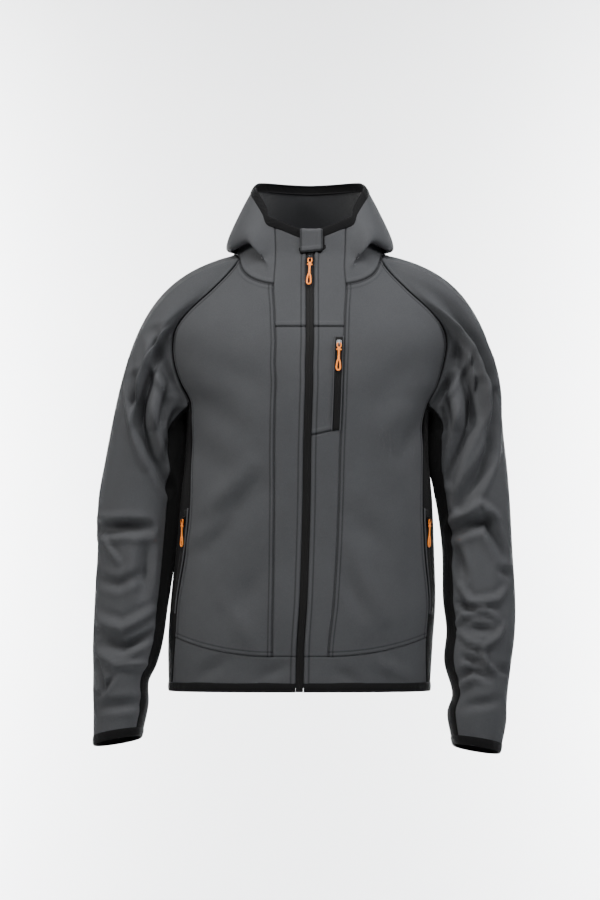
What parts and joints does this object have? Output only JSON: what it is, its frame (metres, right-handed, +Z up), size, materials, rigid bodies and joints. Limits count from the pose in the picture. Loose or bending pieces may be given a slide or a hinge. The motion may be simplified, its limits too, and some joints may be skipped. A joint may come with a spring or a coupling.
{
  "type": "hooded softshell jacket",
  "caption": "Zip-front softshell jacket with its hood down, stretch side and under-sleeve panels, chest and side pocket zips with moulded pulls, hollow in its worn pose.",
  "frame": {"origin": "middle of the neck base, level with the shoulders, where the wearer holds the jacket up", "axes": "+Z up, -Y to the front, +X to the wearer's left"},
  "size_m": [0.6525, 0.3027, 0.8903],
  "materials": {
    "softshell": "matte bonded softshell cloth",
    "stretch_fabric": "matte stretch knit",
    "elastic_binding": "matte woven elastic",
    "zip_tape": "woven tape with a nylon coil",
    "moulded_pull": "moulded rubber-like plastic",
    "slider_metal": "satin black lacquer"
  },
  "bodies": {
    "garment": {"cuff_binding_right": "elastic_binding", "cuff_binding_left": "elastic_binding", "hood_binding": "elastic_binding", "hem_piece_right": "softshell", "side_panel_right": "stretch_fabric", "front_strip_right": "softshell", "front_panel_right": "softshell", "neck_panel_right": "softshell", "hem_piece_left": "softshell", "side_panel_left": "stretch_fabric", "front_strip_left": "softshell", "chest_pocket_panel": "softshell", "front_panel_left": "softshell", "neck_panel_left": "softshell", "back_panel": "softshell", "sleeve_right": "softshell", "under_sleeve_right": "stretch_fabric", "sleeve_left": "softshell", "under_sleeve_left": "stretch_fabric", "hood_side_left": "softshell", "hood_middle": "softshell", "hood_side_right": "softshell", "hem_binding": "elastic_binding", "main_zip": "zip_tape", "zip_garage": "softshell", "chest_pocket_zip": "zip_tape", "side_pocket_zip_right": "zip_tape", "side_pocket_zip_left": "zip_tape", "slider_main": "slider_metal", "slider_chest": "slider_metal", "slider_side_right": "slider_metal", "slider_side_left": "slider_metal"},
    "chest_pull": {"pull_chest": "moulded_pull"},
    "main_pull": {"pull_main": "moulded_pull"},
    "side_left_pull": {"pull_side_left": "moulded_pull"},
    "side_right_pull": {"pull_side_right": "moulded_pull"}
  },
  "joints": [
    {"name": "chest_pull_turn", "type": "hinge", "parent": "garment", "child": "chest_pull", "pos_m": [0.0513, -0.12956, -0.13003], "axis": [-0.9976, -0.054, 0.044], "range_deg": [0, 150]},
    {"name": "main_pull_turn", "type": "hinge", "parent": "garment", "child": "main_pull", "pos_m": [0.0075, -0.08961, 0.0001], "axis": [-0.9986, 0.0125, 0.0521], "range_deg": [0, 150]},
    {"name": "side_left_pull_turn", "type": "hinge", "parent": "garment", "child": "side_left_pull", "pos_m": [0.1909, -0.05908, -0.39783], "axis": [-0.4944, -0.8689, -0.0231], "range_deg": [0, 150]},
    {"name": "side_right_pull_turn", "type": "hinge", "parent": "garment", "child": "side_right_pull", "pos_m": [-0.18816, -0.05907, -0.39758], "axis": [-0.4917, 0.8695, 0.0471], "range_deg": [0, 150]}
  ]
}
